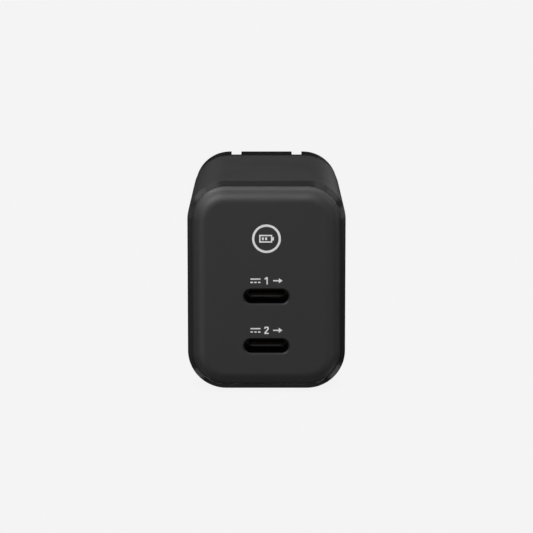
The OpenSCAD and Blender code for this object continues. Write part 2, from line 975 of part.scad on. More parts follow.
module output_capacitor(i) {
    color("#b4b7bb")
        can(out_cap_y, comp_z1 - (i + 0.5) * out_cap_d - i * part_gap, out_cap_d, out_cap_l, 0.25);
}

module output_capacitor_1() {
    output_capacitor(0);
}

module output_capacitor_2() {
    output_capacitor(1);
}

// ---- print ----

module front_print() {
    color("#c8c8ca")
        along_y(y_face - ink, y_face) {
            translate([0, icon_z])
                icon();
            for (i = [0, 1])
                translate([0, port_zs[i] + label_up])
                    port_label(2 - i);
        }
}

// battery in a ring
module icon() {
    cell_w = 2.5;
    cell_h = 1.5;
    line = 0.26;
    difference() {
        circle(r = icon_r, $fn = smooth);
        circle(r = icon_r - icon_line, $fn = smooth);
    }
    translate([-0.15, 0]) {
        difference() {
            square([cell_w, cell_h], center = true);
            square([cell_w - 2 * line, cell_h - 2 * line], center = true);
        }
        translate([cell_w / 2, -0.35])
            square([0.3, 0.7]);
        for (i = [0:1])
            translate([-cell_w / 2 + 2 * line + i * 0.62, -0.25])
                square([0.38, 0.5]);
    }
}

// direct-current sign, the port's number, and an arrow pointing out
module port_label(number) {
    translate([-2.1, 0])
        direct_current();
    if (number == 1)
        digit_one();
    else
        digit_two();
    translate([2.1, 0])
        arrow();
}

module bar(x, z, w, h) {
    translate([x - w / 2, z - h / 2])
        square([w, h]);
}

module direct_current() {
    w = 1.9;
    bar(0, 0.32, w, label_line);
    for (i = [-1:1])
        bar(i * (w - 0.46) / 2, -0.32, 0.46, label_line);
}

module digit_one() {
    polygon([[0, label_h / 2], [0, -label_h / 2], [label_line, -label_h / 2], [label_line, label_h / 2]]);
    polygon([[0, label_h / 2], [0, label_h / 2 - 0.34], [-0.36, label_h / 2 - 0.52], [-0.36, label_h / 2 - 0.24]]);
}

module digit_two() {
    w = 0.86;
    top = label_h / 2;
    bar(0, -top + label_line / 2, w, label_line);
    polygon([[-w / 2, -top + label_line], [-w / 2 + 0.34, -top + label_line], [w / 2, 0.2], [w / 2 - 0.28, 0.24]]);
    bar(0, top - label_line / 2, w - 0.2, label_line);
    bar(w / 2 - 0.13, top - 0.36, 0.26, 0.5);
    bar(-w / 2 + 0.13, top - 0.26, 0.26, 0.3);
}

module arrow() {
    bar(-0.2, 0, 1.3, label_line);
    polygon([[0.25, 0.5], [0.95, 0], [0.25, -0.5]]);
}

housing();
front_frame();
front_cover();
front_print();
rear_cover();
blade_rotor();
blade_left();
blade_right();
contact_carrier();
carrier_screws();
contact_spring_left();
contact_spring_right();
detent_spring();
lead_wire_live();
lead_wire_neutral();
receptacle_shell_lower();
receptacle_shell_upper();
receptacle_tongue_lower();
receptacle_tongue_upper();
receptacle_contacts_lower();
receptacle_contacts_upper();
port_board();
protocol_chip();
main_board();
link_pins();
primary_switch();
sync_rectifier();
bridge_rectifier();
thermal_pad();
heat_spreader();
insulation_sheet();
transformer_core();
transformer_bobbin();
transformer_winding();
choke_core();
choke_winding();
safety_capacitor();
line_fuse();
bridging_capacitor();
bulk_capacitor_1();
bulk_capacitor_2();
bulk_capacitor_3();
output_capacitor_1();
output_capacitor_2();
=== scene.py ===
import math
import bmesh
import bpy
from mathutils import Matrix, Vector


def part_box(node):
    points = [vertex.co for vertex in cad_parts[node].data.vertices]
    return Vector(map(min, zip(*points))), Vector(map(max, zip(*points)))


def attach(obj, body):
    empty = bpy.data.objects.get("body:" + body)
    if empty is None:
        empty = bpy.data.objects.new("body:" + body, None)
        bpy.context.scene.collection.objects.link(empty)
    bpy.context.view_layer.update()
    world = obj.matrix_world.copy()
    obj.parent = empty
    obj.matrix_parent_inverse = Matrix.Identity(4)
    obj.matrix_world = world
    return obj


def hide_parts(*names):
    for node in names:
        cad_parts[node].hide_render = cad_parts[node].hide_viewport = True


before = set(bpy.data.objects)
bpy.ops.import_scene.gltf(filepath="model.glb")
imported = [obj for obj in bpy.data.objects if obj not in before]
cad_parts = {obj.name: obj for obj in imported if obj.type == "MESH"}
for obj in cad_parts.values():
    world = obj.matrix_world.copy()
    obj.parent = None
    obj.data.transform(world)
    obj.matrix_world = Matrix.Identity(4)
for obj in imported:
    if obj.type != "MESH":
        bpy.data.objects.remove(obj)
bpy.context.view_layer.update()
mm = 0.001
print("frame loaded:", len(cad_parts), "nodes")

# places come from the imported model, in millimetres
def boxMm(node):
    low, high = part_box(node)
    return low / mm, high / mm


housingLow, housingHigh = boxMm("housing")
frameBackY = boxMm("front_frame")[1].y
coverLow = boxMm("front_cover")[0]
rearLow, rearHigh = boxMm("rear_cover")
bladeLow, bladeHigh = boxMm("blade_right")
rotorLow, rotorHigh = boxMm("blade_rotor")
shellLow, shellHigh = boxMm("receptacle_shell_lower")

body = {
    "width": housingHigh.x - housingLow.x,
    "height": housingHigh.z - housingLow.z,
    "cornerRadius": 7.4,
    "wall": 1.8,
    "cornerSteps": 20,
    "edge": 0.07,          # softened edge where two mouldings meet
}
middleZ = (housingLow.z + housingHigh.z) / 2
coverInset = coverLow.x - housingLow.x
capInset = rearLow.x - housingLow.x
faceY = coverLow.y
seatY = housingLow.y
capY = housingHigh.y
backY = rearHigh.y
pivotY = (rotorLow.y + rotorHigh.y) / 2
pivotZ = (rotorLow.z + rotorHigh.z) / 2
portLevels = [sum(boxMm("receptacle_shell_" + level)[side].z for side in (0, 1)) / 2
              for level in ("lower", "upper")]


# sRGB hex to linear
def linear(hexColour):
    parts = [int(hexColour[i:i + 2], 16) / 255 for i in (1, 3, 5)]
    return tuple(c / 12.92 if c <= 0.04045 else ((c + 0.055) / 1.055) ** 2.4 for c in parts) + (1.0,)


def addNode(tree, kind, settings=None, links=None):
    made = tree.nodes.new(kind)
    for key, value in (settings or {}).items():
        if isinstance(key, int) or key in made.inputs:
            made.inputs[key].default_value = value
        else:
            setattr(made, key, value)
    for key, socket in (links or {}).items():
        tree.links.new(socket, made.inputs[key])
    return made


def newMaterial(name):
    material = bpy.data.materials.new(name)
    material.use_nodes = True
    material.node_tree.nodes.clear()
    place = addNode(material.node_tree, "ShaderNodeTexCoord").outputs["Object"]
    return material, material.node_tree, place


# every family below ends here: two colours mixed by one pattern, gloss by another, and a relief
def closeMaterial(tree, look, colourBy, glossBy, reliefBy, **sockets):
    colour = addNode(tree, "ShaderNodeMix",
                     {"data_type": "RGBA", 6: linear(look["dark"]), 7: linear(look["light"])},
                     {"Factor": colourBy})
    swing = look.get("glossSwing", 0.07)
    gloss = addNode(tree, "ShaderNodeMapRange",
                    {"From Min": 0.25, "From Max": 0.75, "To Min": look["roughness"] * (1 - swing),
                     "To Max": look["roughness"] * (1 + swing)}, {"Value": glossBy})
    relief = addNode(tree, "ShaderNodeBump", {"Strength": 1.0, "Distance": look["depthMm"] * mm},
                     {"Height": reliefBy})
    shader = addNode(tree, "ShaderNodeBsdfPrincipled", sockets,
                     {"Base Color": colour.outputs[2], "Roughness": gloss.outputs["Result"],
                      "Normal": relief.outputs["Normal"]})
    addNode(tree, "ShaderNodeOutputMaterial", links={"Surface": shader.outputs["BSDF"]})


# injection-moulded plastic: the tool's fine grain, with slight flow clouds in the gloss
def mouldedPlastic(name, look):
    material, tree, place = newMaterial(name)
    grain = addNode(tree, "ShaderNodeTexNoise",
                    {"Scale": 1 / (look["grainMm"] * mm), "Detail": 3.0, "Roughness": 0.6},
                    {"Vector": place})
    cloud = addNode(tree, "ShaderNodeTexNoise", {"Scale": 1 / (look["cloudMm"] * mm)}, {"Vector": place})
    closeMaterial(tree, look, grain.outputs["Fac"], cloud.outputs["Fac"], grain.outputs["Fac"],
                  IOR=look.get("ior", 1.5))
    return material


# drawn, rolled or ground metal: fine lines along one axis, clouded by handling
def linedMetal(name, look):
    material, tree, place = newMaterial(name)
    stretch = [1 / (look["lineMm"] * mm)] * 3
    stretch["xyz".index(look["along"])] /= look["lineLength"]
    lines = addNode(tree, "ShaderNodeMapping", {"Scale": stretch}, {"Vector": place})
    scratch = addNode(tree, "ShaderNodeTexNoise", {"Scale": 1.0, "Detail": 4.0, "Roughness": 0.65},
                      {"Vector": lines.outputs["Vector"]})
    handling = addNode(tree, "ShaderNodeTexNoise",
                       {"Scale": 1 / (look.get("cloudMm", 4.0) * mm), "Detail": 3.0}, {"Vector": place})
    total = addNode(tree, "ShaderNodeMath", {"operation": "ADD"},
                    {0: scratch.outputs["Fac"], 1: handling.outputs["Fac"]})
    both = addNode(tree, "ShaderNodeMath", {"operation": "MULTIPLY", 1: 0.5}, {0: total.outputs[0]})
    closeMaterial(tree, dict({"glossSwing": 0.32}, **look), handling.outputs["Fac"], both.outputs[0],
                  scratch.outputs["Fac"], Metallic=1.0)
    return material


# round wire or tape laid turn by turn: rounded bands across the winding's axis
def woundTurns(name, look):
    material, tree, place = newMaterial(name)
    turns = addNode(tree, "ShaderNodeTexWave",
                    {"bands_direction": look["across"], "Scale": math.pi / 10 / (look["turnMm"] * mm),
                     "Distortion": look.get("stray", 0.6), "Detail": 1.0}, {"Vector": place})
    wear = addNode(tree, "ShaderNodeTexNoise", {"Scale": 1 / (look["turnMm"] * 3 * mm), "Detail": 3.0},
                   {"Vector": place})
    closeMaterial(tree, look, turns.outputs["Fac"], wear.outputs["Fac"], turns.outputs["Fac"],
                  Metallic=look.get("metallic", 0.0))
    return material


# glass-epoxy board: copper areas under the mask, the cloth's weave just showing
def maskedBoard(name, look):
    material, tree, place = newMaterial(name)
    flat = addNode(tree, "ShaderNodeMapping", {"Rotation": look["turn"]}, {"Vector": place})
    copper = addNode(tree, "ShaderNodeTexBrick",
                     {"Color1": (1, 1, 1, 1), "Color2": (0.75, 0.75, 0.75, 1), "Mortar": (0, 0, 0, 1),
                      "Scale": 1 / (look["copperMm"] * mm), "Mortar Size": 0.025, "Mortar Smooth": 0.2,
                      "Brick Width": 2.1, "Row Height": 0.9, "offset": 0.35, "squash": 0.6,
                      "squash_frequency": 3},
                     {"Vector": flat.outputs["Vector"]})
    weave = [addNode(tree, "ShaderNodeTexWave",
                     {"bands_direction": across, "Scale": math.pi / 10 / (look["threadMm"] * mm)},
                     {"Vector": flat.outputs["Vector"]}).outputs["Fac"] for across in "XY"]
    cloth = addNode(tree, "ShaderNodeMath", {"operation": "MULTIPLY"}, dict(enumerate(weave)))
    shown = addNode(tree, "ShaderNodeMath", {"operation": "MULTIPLY_ADD", 1: 0.25},
                    {0: cloth.outputs[0], 2: copper.outputs["Color"]})
    closeMaterial(tree, look, shown.outputs[0], cloth.outputs[0], shown.outputs[0])
    return material


# PC/ABS moulded in a fine spark-eroded tool: dull dark grey that only lights up at a low angle;
# its grain is drawn coarser than the real one, so that it shows
housingMatte = mouldedPlastic("PC-ABS moulded matte housing", {
    "dark": "#2c2c2c", "light": "#313131", "roughness": 0.38, "grainMm": 0.22, "depthMm": 0.0016,
    "cloudMm": 9.0})
# the same resin on a freshly textured insert, a shade softer
coverMatte = mouldedPlastic("PC-ABS moulded matte cover", {
    "dark": "#2c2c2c", "light": "#313131", "roughness": 0.48, "grainMm": 0.22, "depthMm": 0.0016,
    "cloudMm": 7.0})
# the port mouths from the bevel inwards: smoother, and darker as painted shade inside them
mouthPaintedShade = mouldedPlastic("PC-ABS port mouth darkened as painted shade", {
    "dark": "#1f1f1f", "light": "#252525", "roughness": 0.42, "grainMm": 0.15, "depthMm": 0.0004,
    "cloudMm": 3.0})
# ABS from a polished tool: mirrors the softboxes along its chamfer
framePolished = mouldedPlastic("ABS moulded polished frame", {
    "dark": "#272727", "light": "#2a2a2a", "roughness": 0.21, "grainMm": 0.5, "depthMm": 0.0002,
    "cloudMm": 6.0, "ior": 1.38})
# PC moulded satin: nearly black beside the grey housing
rearSatin = mouldedPlastic("PC moulded satin rear", {
    "dark": "#0a0a0a", "light": "#0d0d0d", "roughness": 0.36, "grainMm": 0.3, "depthMm": 0.0008,
    "cloudMm": 8.0, "ior": 1.33})
# nylon 66 for the part that turns: a little waxy
rotorNylon = mouldedPlastic("PA66 moulded rotor", {
    "dark": "#161616", "light": "#1b1b1b", "roughness": 0.36, "grainMm": 0.25, "depthMm": 0.001,
    "cloudMm": 4.0})
# one coat of pad-printing ink, a little uneven where the pad lifted
printInk = mouldedPlastic("pad-printed light grey ink", {
    "dark": "#e9e9ea", "light": "#f0f0f0", "roughness": 0.55, "grainMm": 0.15, "depthMm": 0.001,
    "cloudMm": 2.0})
# liquid crystal polymer: dull black, with the flow marks of a thin section
tongueBlack = mouldedPlastic("LCP moulded tongue", {
    "dark": "#161616", "light": "#1b1b1b", "roughness": 0.4, "grainMm": 0.15, "depthMm": 0.0008,
    "cloudMm": 2.0, "ior": 1.6})
# cartridge brass under bright nickel, burnished lengthwise by the socket's springs
nickelBlade = linedMetal("brass blade nickel-plated", {
    "dark": "#c9c7c1", "light": "#dcdad4", "roughness": 0.3, "along": "y", "lineMm": 0.12,
    "lineLength": 24, "depthMm": 0.0012})
# deep-drawn stainless steel, its colour darkened to near black as painted shade inside the mouth
shellSteelPaintedShade = linedMetal("stainless steel shell darkened as painted shade", {
    "dark": "#2c2d2f", "light": "#38393b", "roughness": 0.36, "along": "y", "lineMm": 0.1,
    "lineLength": 20, "depthMm": 0.001})
# hard gold over nickel on a stamped strip, its colour dimmed as painted shade inside the mouth
contactGoldPaintedShade = linedMetal("phosphor bronze gold-plated", {
    "dark": "#84652e", "light": "#9d7b3d", "roughness": 0.34, "along": "y", "lineMm": 0.06,
    "lineLength": 12, "depthMm": 0.0006, "cloudMm": 1.0})

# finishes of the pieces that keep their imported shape, by material slot
slotFinish = {
    "print_ink": printInk,
    "contact_gold": contactGoldPaintedShade,
    # natural nylon: ivory, faintly translucent at thin ribs
    "carrier_plastic": mouldedPlastic("PA66 moulded natural carrier", {
        "dark": "#d8d0bb", "light": "#e6dfcd", "roughness": 0.42, "grainMm": 0.4, "depthMm": 0.001,
        "cloudMm": 5.0}),
    # bright zinc: bluish steel with a fine thread-rolling burnish
    "screw_steel": linedMetal("steel screw zinc-plated", {
        "dark": "#b4b8c0", "light": "#cdd1d6", "roughness": 0.3, "along": "x", "lineMm": 0.08,
        "lineLength": 6, "depthMm": 0.001, "cloudMm": 1.5}),
    # rolled strip: salmon-brown, slightly tarnished
    "spring_bronze": linedMetal("phosphor bronze rolled strip", {
        "dark": "#bf8a5e", "light": "#ddb08a", "roughness": 0.3, "along": "z", "lineMm": 0.1,
        "lineLength": 25, "depthMm": 0.001, "cloudMm": 2.5}),
    # tempered spring strip: grey with a straw-coloured cast
    "detent_steel": linedMetal("spring steel tempered strip", {
        "dark": "#a8a69c", "light": "#c2c2c0", "roughness": 0.28, "along": "x", "lineMm": 0.1,
        "lineLength": 25, "depthMm": 0.001, "cloudMm": 2.0}),
    # extruded silicone: dull, with talc bloom
    "live_sleeve": mouldedPlastic("silicone extruded red sleeve", {
        "dark": "#84231f", "light": "#97302b", "roughness": 0.62, "grainMm": 0.3, "depthMm": 0.002,
        "cloudMm": 3.0, "ior": 1.43}),
    # the same silicone in black
    "neutral_sleeve": mouldedPlastic("silicone extruded black sleeve", {
        "dark": "#29292b", "light": "#343436", "roughness": 0.62, "grainMm": 0.3, "depthMm": 0.002,
        "cloudMm": 3.0, "ior": 1.43}),
    # woven glass and epoxy under a screened green mask
    "board_laminate": maskedBoard("glass-epoxy board green mask", {
        "dark": "#1d4a2c", "light": "#2c653d", "roughness": 0.34, "copperMm": 3.2, "threadMm": 0.5,
        "depthMm": 0.012, "turn": (-math.pi / 2, math.pi / 4, 0)}),
    # transfer-moulded epoxy filled with silica: fine sparkle on near-black
    "chip_epoxy": mouldedPlastic("epoxy transfer-moulded package", {
        "dark": "#1a1a1b", "light": "#2a2a2c", "roughness": 0.5, "grainMm": 0.08, "depthMm": 0.002,
        "cloudMm": 1.5, "ior": 1.55}),
    # filled silicone sheet, cut and left soft: blue-grey and dusty
    "pad_silicone": mouldedPlastic("silicone calendered thermal pad", {
        "dark": "#8a929a", "light": "#9ea5ab", "roughness": 0.82, "grainMm": 0.25, "depthMm": 0.006,
        "cloudMm": 4.0, "ior": 1.43}),
    # cold-rolled copper sheet with finger-tarnish clouds
    "spreader_copper": linedMetal("copper rolled sheet", {
        "dark": "#b06d4a", "light": "#dd9a78", "roughness": 0.27, "along": "y", "lineMm": 0.12,
        "lineLength": 40, "depthMm": 0.001, "cloudMm": 6.0}),
    # calendered aramid fibre: straw-coloured, with pressed flocks
    "sheet_film": mouldedPlastic("aramid paper calendered", {
        "dark": "#cfc39f", "light": "#e2d8ba", "roughness": 0.66, "grainMm": 0.7, "depthMm": 0.008,
        "cloudMm": 2.0}),
    # sintered manganese-zinc ferrite, ground on its mating faces
    "ferrite": mouldedPlastic("ferrite sintered core", {
        "dark": "#333437", "light": "#434449", "roughness": 0.48, "grainMm": 0.12, "depthMm": 0.003,
        "cloudMm": 3.0, "ior": 2.2}),
    # the ring's thick powder coat: green, with a faint orange peel
    "choke_ferrite": mouldedPlastic("ferrite ring epoxy-coated", {
        "dark": "#3b4c40", "light": "#4d6153", "roughness": 0.4, "grainMm": 0.5, "depthMm": 0.006,
        "cloudMm": 3.0}),
    # phenolic: hard, black-brown and slightly glossy
    "bobbin_plastic": mouldedPlastic("phenolic moulded bobbin", {
        "dark": "#1b1918", "light": "#262322", "roughness": 0.35, "grainMm": 0.3, "depthMm": 0.001,
        "cloudMm": 3.0, "ior": 1.6}),
    # polyester tape wrapped in layers: glossy amber with the edges showing
    "winding_tape": woundTurns("polyester tape wound", {
        "dark": "#b58a1c", "light": "#d9ad35", "roughness": 0.24, "across": "Y", "turnMm": 1.4,
        "depthMm": 0.02}),
    # copper wire under clear enamel: each turn is a bright line
    "enamelled_wire": woundTurns("copper wire enamelled", {
        "dark": "#6d2f17", "light": "#c77a4a", "roughness": 0.26, "across": "X", "turnMm": 0.5,
        "depthMm": 0.09, "metallic": 0.85}),
    # glass-filled polyester box: mustard yellow, smooth and a little glossy
    "film_capacitor_case": mouldedPlastic("PBT moulded yellow case", {
        "dark": "#c0ab2e", "light": "#d2bd3d", "roughness": 0.33, "grainMm": 0.3, "depthMm": 0.001,
        "cloudMm": 4.0}),
    # flame-proof nylon tube: brown and smooth
    "fuse_case": mouldedPlastic("PA moulded brown fuse case", {
        "dark": "#54402f", "light": "#67503c", "roughness": 0.36, "grainMm": 0.3, "depthMm": 0.001,
        "cloudMm": 2.0}),
    # dipped and cured: thick blue skin with orange peel
    "ceramic_coat": mouldedPlastic("epoxy dipped blue disc", {
        "dark": "#2a628f", "light": "#3877a8", "roughness": 0.28, "grainMm": 0.8, "depthMm": 0.02,
        "cloudMm": 2.0}),
    # heat-shrunk polyester sleeve, drawn tight round the can
    "can_sleeve": mouldedPlastic("PET shrunk capacitor sleeve", {
        "dark": "#1e2129", "light": "#262a33", "roughness": 0.24, "grainMm": 1.2, "depthMm": 0.006,
        "cloudMm": 5.0, "ior": 1.57}),
    # impact-drawn aluminium: lines round the can from the die
    "can_aluminium": linedMetal("aluminium drawn can", {
        "dark": "#b9bbbf", "light": "#d0d2d5", "roughness": 0.3, "along": "x", "lineMm": 0.09,
        "lineLength": 18, "depthMm": 0.001, "cloudMm": 3.0}),
}
print("materials made:", len(bpy.data.materials))


# a bmesh in millimetres becomes an object in metres
def closeMesh(bm, name):
    bmesh.ops.remove_doubles(bm, verts=bm.verts, dist=1e-4)
    bmesh.ops.recalc_face_normals(bm, faces=bm.faces)
    bmesh.ops.scale(bm, vec=(mm, mm, mm), verts=bm.verts)
    mesh = bpy.data.meshes.new(name)
    bm.to_mesh(mesh)
    bm.free()
    piece = bpy.data.objects.new(name, mesh)
    bpy.context.scene.collection.objects.link(piece)
    return piece


# joins or cuts a piece with other solids, which are used up
def carve(piece, tools, operation="DIFFERENCE"):
    for tool in tools:
        cut = piece.modifiers.new(tool.name, "BOOLEAN")
        cut.operation = operation
        cut.solver = "EXACT"
        cut.object = tool
    bpy.context.view_layer.update()
    shaped = bpy.data.meshes.new_from_object(piece.evaluated_get(bpy.context.evaluated_depsgraph_get()))
    piece.modifiers.clear()
    old = piece.data
    piece.data = shaped
    shaped.name = piece.name
    bpy.data.meshes.remove(old)
    for tool in tools:
        bpy.data.objects.remove(tool)


# smooth shading with real edges kept, then material, body and the CAD node it stands for
def finish(piece, material, bodyName, replaced=(), sharpAngle=30, bevelMm=0.0):
    mesh = piece.data
    bm = bmesh.new()
    bm.from_mesh(mesh)
    for face in bm.faces:
        face.smooth = True
    for edge in bm.edges:
        edge.smooth = len(edge.link_faces) == 2 and edge.calc_face_angle() < math.radians(sharpAngle)
    bm.to_mesh(mesh)
    bm.free()
    mesh.materials.clear()
    mesh.materials.append(material)
    if bevelMm:
        softened = piece.modifiers.new("softened edges", "BEVEL")
        softened.width = bevelMm * mm
        softened.segments = 2
        softened.limit_method = "ANGLE"
        softened.angle_limit = math.radians(40)
        softened.harden_normals = True
    else:
        normals = piece.modifiers.new("even normals", "WEIGHTED_NORMAL")
        normals.keep_sharp = True
    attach(piece, bodyName)
    if replaced:
        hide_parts(*replaced)
    return piece


# rounded rectangle of edges in the X-Z plane, by default the body's outline moved in
def ring(bm, inset, y, width=None, height=None, radius=None, middle=(0, 0)):
    width = (width or body["width"]) - 2 * inset
    height = (height or body["height"]) - 2 * inset
    radius = (radius or body["cornerRadius"]) - inset
    corners = [bm.verts.new((middle[0] + sx * width / 2, y, middle[1] + sz * height / 2))
               for sx, sz in ((-1, -1), (1, -1), (1, 1), (-1, 1))]
    bm.faces.new(corners)
    made = bmesh.ops.bevel(bm, geom=corners, offset=radius, offset_type="OFFSET", affect="VERTICES",
                           segments=body["cornerSteps"], profile=0.5, material=-1)
    face = made["verts"][0].link_faces[0]
    edges = list(face.edges)
    bmesh.ops.delete(bm, geom=[face], context="FACES_ONLY")
    return edges


# skins a row of rings, each given as (inset, y), into a closed solid
def loft(rings, closed=False, **outline):
    bm = bmesh.new()
    outline.setdefault("middle", (0, middleZ))
    loops = [ring(bm, inset, y, **outline) for inset, y in rings]
    for a, b in zip(loops, loops[1:]):
        bmesh.ops.bridge_loops(bm, edges=a + b)
    if closed:
        bmesh.ops.bridge_loops(bm, edges=loops[-1] + loops[0])
    else:
        bmesh.ops.contextual_create(bm, geom=loops[0])
        bmesh.ops.contextual_create(bm, geom=loops[-1])
    return bm


# rings along a quarter round from a side wall, at y, to the face that looks outward
def quarterRound(inset, y, radius, steps, outward):
    turns = [math.pi / 2 * i / steps for i in range(steps + 1)]
    return [(inset + radius * (1 - math.cos(t)), y + outward * radius * math.sin(t)) for t in turns]


def blockMesh(low, high, name):
    low, high = Vector(low), Vector(high)
    bm = bmesh.new()
    bmesh.ops.create_cube(bm, size=1.0)
    bmesh.ops.scale(bm, vec=high - low, verts=bm.verts)
    bmesh.ops.translate(bm, vec=(low + high) / 2, verts=bm.verts)
    return closeMesh(bm, name)


def rodMesh(start, end, radius, name, steps=48):
    start, end = Vector(start), Vector(end)
    bm = bmesh.new()
    bmesh.ops.create_cone(bm, cap_ends=True, segments=steps, radius1=radius, radius2=radius,
                          depth=(end - start).length)
    turn = (end - start).to_track_quat("Z", "Y").to_matrix()
    bmesh.ops.rotate(bm, cent=(0, 0, 0), matrix=turn, verts=bm.verts)
    bmesh.ops.translate(bm, vec=(start + end) / 2, verts=bm.verts)
    return closeMesh(bm, name)


# open sleeve with softened edges at both ends
def makeHousing():
    edge = body["edge"]
    bm = loft([(edge, seatY), (0, seatY + edge), (0, capY - edge), (edge, capY),
               (body["wall"], capY), (body["wall"], seatY)], closed=True)
    return finish(closeMesh(bm, "housing_sleeve"), housingMatte, "charger",
                  ["housing"])


# gap is the hairline between this ring and the front cover
frontFrame = {"gap": 0.03, "spigotInset": 1.9, "wall": 1.1, "webThickness": 0.55, "edge": 0.02}


# chamfered ring in front of the housing, with its spigot inside
def makeFrontFrame():
    edge = frontFrame["edge"]
    lip = coverInset - frontFrame["gap"]
    rimY = seatY - lip
    spigot = frontFrame["spigotInset"]
    inside = spigot + frontFrame["wall"]
    bm = loft([(spigot, seatY), (edge, seatY), (0, seatY - edge), (lip - edge, rimY + edge / 2),
               (lip, rimY + edge), (lip, seatY - frontFrame["webThickness"]),
               (inside, seatY - frontFrame["webThickness"]), (inside, frameBackY),
               (spigot, frameBackY)], closed=True)
    return finish(closeMesh(bm, "front_frame_ring"), framePolished, "charger",
                  ["front_frame"], sharpAngle=35)


# cutters run past the wall by cutPast; faces within mouthRim of a mouth count as its own
cover = {"faceRound": 2.9, "roundSteps": 20, "wall": 1.7, "skirtGap": 0.1, "mouthBevel": 0.3,
         "mouthLip": 0.08, "pocketGap": 0.08, "pocketEnd": 0.05, "cutPast": 1.0, "mouthRim": 0.2,
         "near": 0.01}


# oblong of a receptacle's shell around one port, with a narrow flat at each end
def shellOutline(z):
    width, height = shellHigh.x - shellLow.x, shellHigh.z - shellLow.z
    return {"width": width, "height": height, "radius": (height - port["endFlat"]) / 2, "middle": (0, z)}


# face with a soft edge, and a skirt that ends just short of the frame's web
def makeFrontCover():
    skirtY = seatY - frontFrame["webThickness"] - cover["skirtGap"]
    inner = coverInset + cover["wall"]
    innerY = faceY + cover["wall"]
    bm = loft([(inner, innerY), (inner, skirtY), (coverInset, skirtY)]
              + quarterRound(coverInset, faceY + cover["faceRound"], cover["faceRound"],
                             cover["roundSteps"], -1))
    piece = closeMesh(bm, "front_cover_shell")
    # each mouth is bevelled at the face and opens into a pocket for the shell
    cuts = []
    bevel = cover["mouthBevel"]
    rim = port["shellWall"] - cover["mouthLip"]
    gap = -cover["pocketGap"]
    insideY = innerY + cover["cutPast"]
    outsideY = faceY - cover["cutPast"]
    for z in portLevels:
        outline = shellOutline(z)
        bm = loft([(rim, insideY), (rim, faceY + bevel), (rim - bevel, faceY), (rim - bevel, outsideY)],
                  **outline)
        cuts.append(closeMesh(bm, "mouth"))
        bm = loft([(gap, insideY), (gap, shellLow.y - cover["pocketEnd"])], **outline)
        cuts.append(closeMesh(bm, "pocket"))
    carve(piece, cuts)
    finish(piece, coverMatte, "charger", ["front_cover"], sharpAngle=28)
    # from the bevel inwards the mouth faces take a darker colour: painted shade inside the mouths
    piece.data.materials.append(mouthPaintedShade)
    reachX = shellHigh.x + cover["mouthRim"]
    reachZ = (shellHigh.z - shellLow.z) / 2 + cover["mouthRim"]
    for face in piece.data.polygons:
        middle = face.center / mm
        beside = abs(middle.x) < reachX and any(abs(middle.z - z) < reachZ for z in portLevels)
        if beside and faceY + cover["near"] < middle.y < innerY - cover["near"]:
            face.material_index = 1
    return piece


# each contact lies in the tongue by contactSunk and stands out of it by contactProud
port = {"shellWall": 0.3, "endFlat": 0.02, "shellEdge": 0.08, "shellFlare": 0.2, "tongueWidth": 6.69,
        "tongueThickness": 0.7, "tongueBack": 0.5, "tongueRoot": 0.2, "baseLength": 4.0,
        "noseDepth": 0.55, "noseHeight": 0.19, "noseSide": 0.74, "contacts": 12, "contactPitch": 0.5,
        "contactWidth": 0.25, "contactLength": 3.6, "contactBack": 0.6, "contactSunk": 0.05,
        "contactProud": 0.02}


# flat tongue that narrows to a thin nose at its tip
def makeTongue(tip, back, z):
    half = Vector((port["tongueWidth"] / 2, 0, port["tongueThickness"] / 2))
    bm = bmesh.new()
    bmesh.ops.create_cube(bm, size=2.0)
    for v in bm.verts:
        v.co.x *= half.x
        v.co.z *= half.z
        v.co.y = back if v.co.y > 0 else tip + port["noseDepth"]
    front = min(bm.faces, key=lambda f: f.calc_center_median().y)
    nose = bmesh.ops.extrude_face_region(bm, geom=[front])["geom"]
    for v in [v for v in nose if isinstance(v, bmesh.types.BMVert)]:
        v.co.y = tip
        v.co.x -= math.copysign(port["noseSide"], v.co.x)
        v.co.z = math.copysign(port["noseHeight"] / 2, v.co.z)
    bmesh.ops.delete(bm, geom=[front], context="FACES_ONLY")
    bmesh.ops.translate(bm, vec=(0, 0, z), verts=bm.verts)
    return closeMesh(bm, "tongue")


# one port's shell, its tongue on a base, and the contacts on both faces of the tongue
def makeReceptacle(level, z):
    wall, edge, flare = port["shellWall"], port["shellEdge"], port["shellFlare"]
    mouthY, boardY = shellLow.y, shellHigh.y
    outline = shellOutline(z)
    bm = loft([(edge, mouthY), (0, mouthY + edge), (0, boardY), (wall, boardY), (wall, mouthY + flare),
               (flare, mouthY)], closed=True, **outline)
    # the shell's near-black grey is painted shade of the mouth
    finish(closeMesh(bm, "receptacle_shell_" + level + "_tube"), shellSteelPaintedShade, "charger",
           ["receptacle_shell_" + level])

    baseY = boardY - port["baseLength"]
    base = closeMesh(loft([(wall, baseY), (wall, boardY)], **outline),
                     "receptacle_tongue_" + level + "_moulding")
    tip = mouthY + port["tongueBack"]
    carve(base, [makeTongue(tip, baseY + port["tongueRoot"], z)], "UNION")
    finish(base, tongueBlack, "charger", ["receptacle_tongue_" + level])

    bm = bmesh.new()
    first = -port["contactPitch"] * (port["contacts"] - 1) / 2
    thick = port["contactSunk"] + port["contactProud"]
    contactY = tip + port["contactBack"] + port["contactLength"] / 2
    lift = port["tongueThickness"] / 2 + port["contactProud"] - thick / 2
    for side in (-1, 1):
        for i in range(port["contacts"]):
            made = bmesh.ops.create_cube(bm, size=1.0)["verts"]
            bmesh.ops.scale(bm, vec=(port["contactWidth"], port["contactLength"], thick), verts=made)
            bmesh.ops.translate(bm, vec=(first + i * port["contactPitch"], contactY, z + side * lift),
                                verts=made)
    # the contacts' dimmed gold is painted shade of the mouth
    finish(closeMesh(bm, "receptacle_contacts_" + level + "_strips"), contactGoldPaintedShade, "charger",
           ["receptacle_contacts_" + level])


